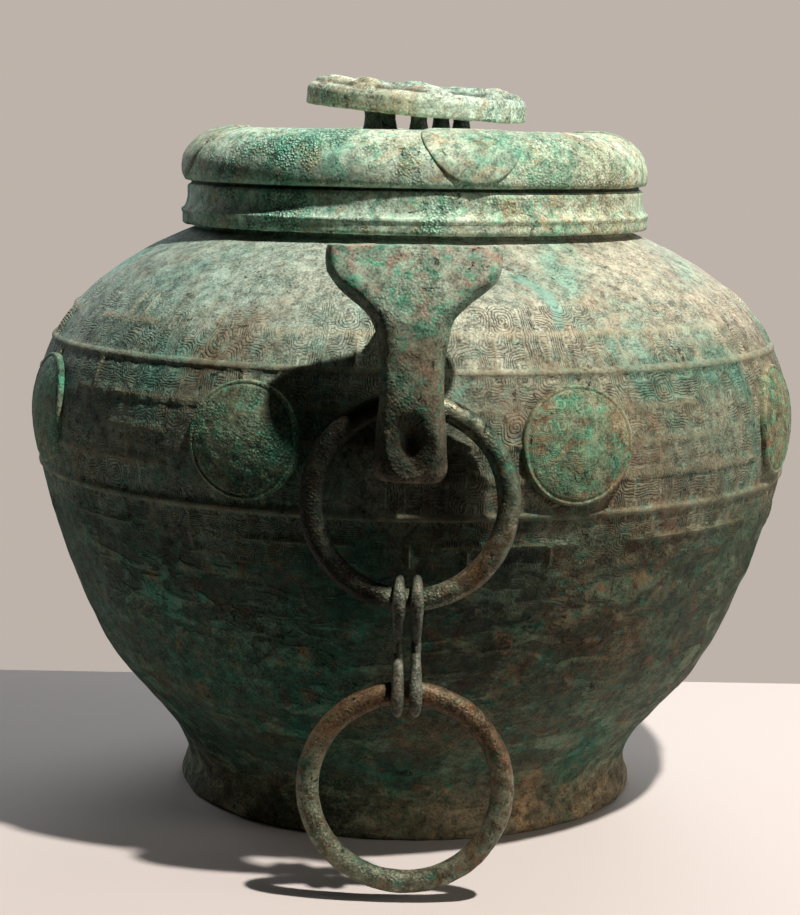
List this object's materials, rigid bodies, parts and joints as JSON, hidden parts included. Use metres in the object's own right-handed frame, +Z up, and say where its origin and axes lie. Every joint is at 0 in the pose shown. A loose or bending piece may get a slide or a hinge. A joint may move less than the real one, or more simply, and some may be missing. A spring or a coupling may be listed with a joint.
{
  "type": "bronze fou vessel",
  "caption": "Round-bellied bronze jar with ring foot, capped lid with disc knob on posts, roundels, and beast-head handles holding chains of rings and figure-eight links.",
  "frame": {"origin": "centre of the ring foot's underside, on the surface the vessel stands on", "axes": "+Z up along the vessel's axis; -Y towards the front handle and +Y towards the back handle; +X to the right as seen from the front"},
  "size_m": [0.48, 0.5504, 0.4548],
  "materials": {
    "vessel_bronze": "aged bronze with grey-green and brown patina",
    "roundel_bronze": "aged bronze with grey-green patina over fine cast ornament",
    "lid_bronze": "aged bronze with granular pale green crust",
    "knob_bronze": "aged bronze with pale green crust and ochre stains",
    "post_bronze": "aged bronze, dark",
    "handle_bronze": "aged bronze with mint and brown patina, pitted",
    "ring_bronze": "aged bronze, rubbed brown with grey-green patina",
    "link_bronze": "aged bronze, rubbed on its edges"
  },
  "bodies": {
    "vessel": {"vessel_body": "vessel_bronze", "belly_roundel_1": "roundel_bronze", "belly_roundel_2": "roundel_bronze", "belly_roundel_3": "roundel_bronze", "belly_roundel_4": "roundel_bronze", "belly_roundel_5": "roundel_bronze", "belly_roundel_6": "roundel_bronze", "belly_roundel_7": "roundel_bronze", "belly_roundel_8": "roundel_bronze", "handle_front": "handle_bronze", "handle_back": "handle_bronze"},
    "lid": {"lid": "lid_bronze", "lid_roundel_1": "lid_bronze", "lid_roundel_2": "lid_bronze", "lid_roundel_3": "lid_bronze", "lid_roundel_4": "lid_bronze", "knob_post_1": "post_bronze", "knob_post_2": "post_bronze", "knob_post_3": "post_bronze", "knob_post_4": "post_bronze", "knob_post_5": "post_bronze", "knob_disc": "knob_bronze"},
    "upper_ring_front": {"upper_ring_front": "ring_bronze"},
    "link_left_front": {"link_left_front": "link_bronze"},
    "link_right_front": {"link_right_front": "link_bronze"},
    "lower_ring_front": {"lower_ring_front": "ring_bronze"},
    "upper_ring_back": {"upper_ring_back": "ring_bronze"},
    "link_left_back": {"link_left_back": "link_bronze"},
    "link_right_back": {"link_right_back": "link_bronze"},
    "lower_ring_back": {"lower_ring_back": "ring_bronze"}
  },
  "joints": [
    {"name": "lid_lift", "type": "slide", "parent": "vessel", "child": "lid", "axis": [0, 0, 1], "range_m": [0, 0.15]},
    {"name": "upper_ring_swing_front", "type": "hinge", "parent": "vessel", "child": "upper_ring_front", "pos_m": [0, -0.24805, 0.2765], "axis": [-1, 0, 0], "range_deg": [-3, 95]},
    {"name": "link_left_swing_front", "type": "hinge", "parent": "upper_ring_front", "child": "link_left_front", "pos_m": [0, -0.24805, 0.1695], "axis": [-1, 0, 0], "range_deg": [-15, 70]},
    {"name": "link_right_swing_front", "type": "hinge", "parent": "upper_ring_front", "child": "link_right_front", "pos_m": [0, -0.24805, 0.1695], "axis": [-1, 0, 0], "range_deg": [-15, 70]},
    {"name": "lower_ring_swing_front", "type": "hinge", "parent": "link_left_front", "child": "lower_ring_front", "pos_m": [0, -0.24805, 0.118], "axis": [-1, 0, 0], "range_deg": [-15, 70]},
    {"name": "upper_ring_swing_back", "type": "hinge", "parent": "vessel", "child": "upper_ring_back", "pos_m": [0, 0.24805, 0.2765], "axis": [1, 0, 0], "range_deg": [-3, 95]},
    {"name": "link_left_swing_back", "type": "hinge", "parent": "upper_ring_back", "child": "link_left_back", "pos_m": [0, 0.24805, 0.1695], "axis": [1, 0, 0], "range_deg": [-15, 70]},
    {"name": "link_right_swing_back", "type": "hinge", "parent": "upper_ring_back", "child": "link_right_back", "pos_m": [0, 0.24805, 0.1695], "axis": [1, 0, 0], "range_deg": [-15, 70]},
    {"name": "lower_ring_swing_back", "type": "hinge", "parent": "link_left_back", "child": "lower_ring_back", "pos_m": [0, 0.24805, 0.118], "axis": [1, 0, 0], "range_deg": [-15, 70]}
  ],
  "couplings": [
    {"joint": "link_right_swing_front", "follows": "link_left_swing_front", "ratio": 1},
    {"joint": "link_right_swing_back", "follows": "link_left_swing_back", "ratio": 1}
  ]
}
